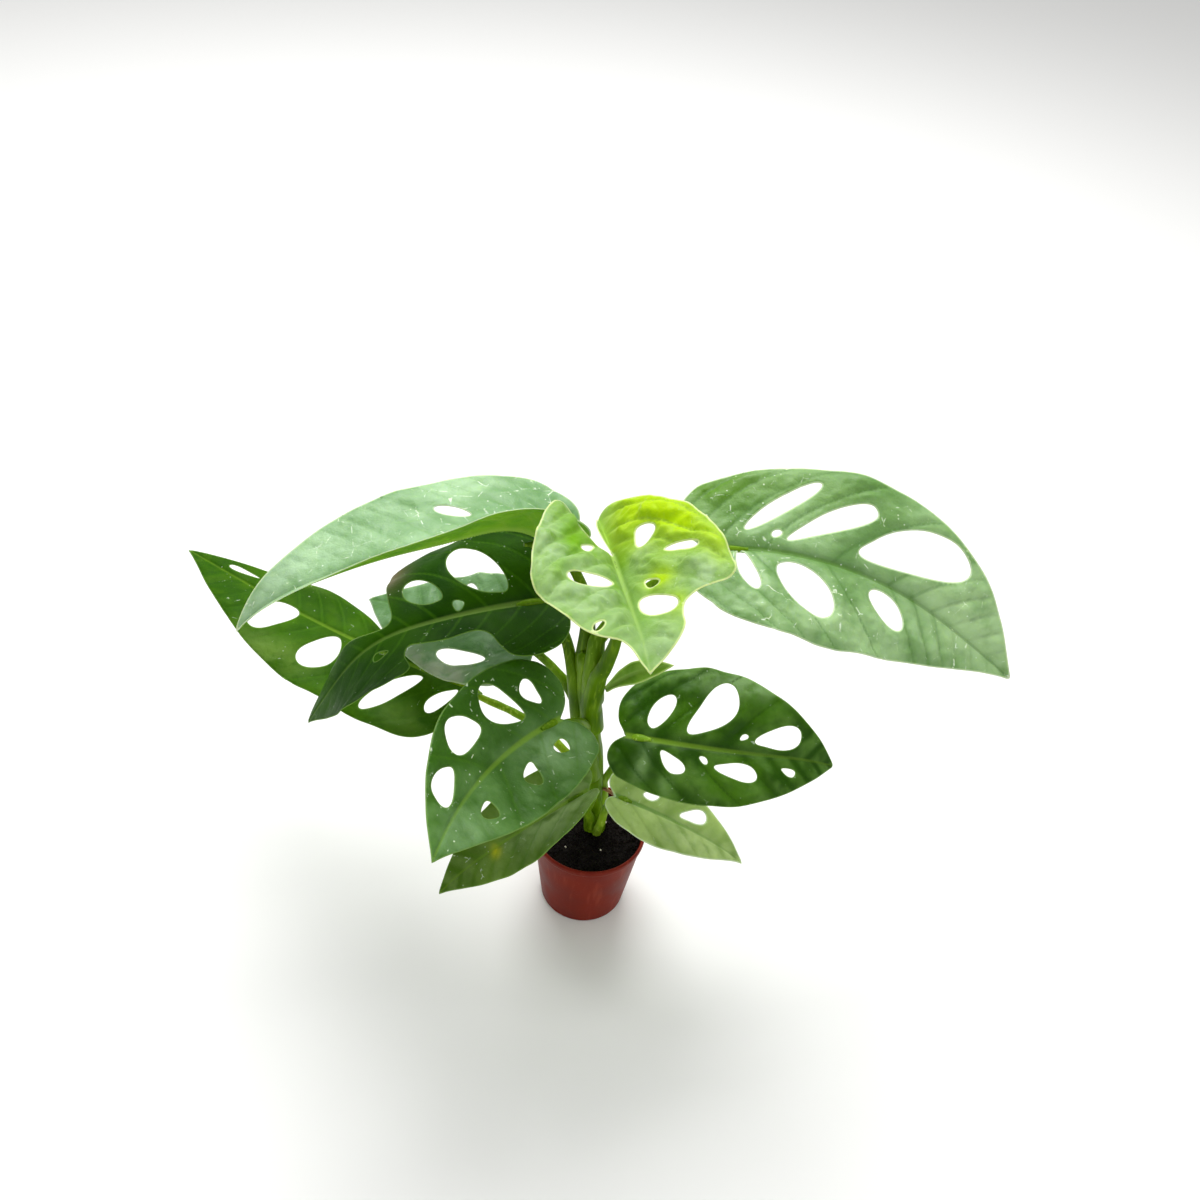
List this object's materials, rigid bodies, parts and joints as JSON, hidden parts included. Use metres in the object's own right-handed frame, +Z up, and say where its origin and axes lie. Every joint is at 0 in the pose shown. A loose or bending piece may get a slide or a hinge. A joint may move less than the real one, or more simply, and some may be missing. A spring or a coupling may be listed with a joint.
{
  "type": "potted swiss cheese vine",
  "caption": "Young holed-leaf climbing houseplant in a small tapered plastic nursery pot: folded, drooping leaf blades on curved stalks round a short leaning stem, with soil.",
  "frame": {"origin": "centre of the pot's flat base, where it rests", "axes": "+Z up the pot's axis; +X towards the large upper right leaf; -Y towards the side the newest leaf faces"},
  "size_m": [0.3455, 0.181, 0.2393],
  "materials": {
    "terracotta_plastic": "satin",
    "potting_mix": "matte",
    "stem_green": "satin",
    "root_skin": "matte",
    "leaf_upper_right_blade": "satin",
    "leaf_right_blade": "satin",
    "leaf_lower_right_blade": "satin",
    "leaf_front_blade": "satin",
    "leaf_lower_front_blade": "satin",
    "leaf_far_left_blade": "satin",
    "leaf_centre_left_blade": "satin",
    "leaf_back_left_blade": "satin",
    "leaf_upper_left_blade": "satin",
    "leaf_top_blade": "satin",
    "petiole_upper_right_skin": "satin",
    "petiole_right_skin": "satin",
    "petiole_lower_right_skin": "satin",
    "petiole_front_skin": "satin",
    "petiole_lower_front_skin": "satin",
    "petiole_far_left_skin": "satin",
    "petiole_centre_left_skin": "satin",
    "petiole_back_left_skin": "satin",
    "petiole_upper_left_skin": "satin",
    "petiole_top_skin": "satin",
    "sheath_leaf_blade": "satin"
  },
  "bodies": {
    "root": {"nursery_pot": "terracotta_plastic", "potting_soil": "potting_mix", "main_stem": "stem_green", "aerial_root": "root_skin", "leaf_upper_right": "leaf_upper_right_blade", "leaf_right": "leaf_right_blade", "leaf_lower_right": "leaf_lower_right_blade", "leaf_front": "leaf_front_blade", "leaf_lower_front": "leaf_lower_front_blade", "leaf_far_left": "leaf_far_left_blade", "leaf_centre_left": "leaf_centre_left_blade", "leaf_back_left": "leaf_back_left_blade", "leaf_upper_left": "leaf_upper_left_blade", "leaf_top": "leaf_top_blade", "petiole_upper_right": "petiole_upper_right_skin", "petiole_right": "petiole_right_skin", "petiole_lower_right": "petiole_lower_right_skin", "petiole_front": "petiole_front_skin", "petiole_lower_front": "petiole_lower_front_skin", "petiole_far_left": "petiole_far_left_skin", "petiole_centre_left": "petiole_centre_left_skin", "petiole_back_left": "petiole_back_left_skin", "petiole_upper_left": "petiole_upper_left_skin", "petiole_top": "petiole_top_skin", "sheath_leaf": "sheath_leaf_blade"}
  },
  "joints": []
}
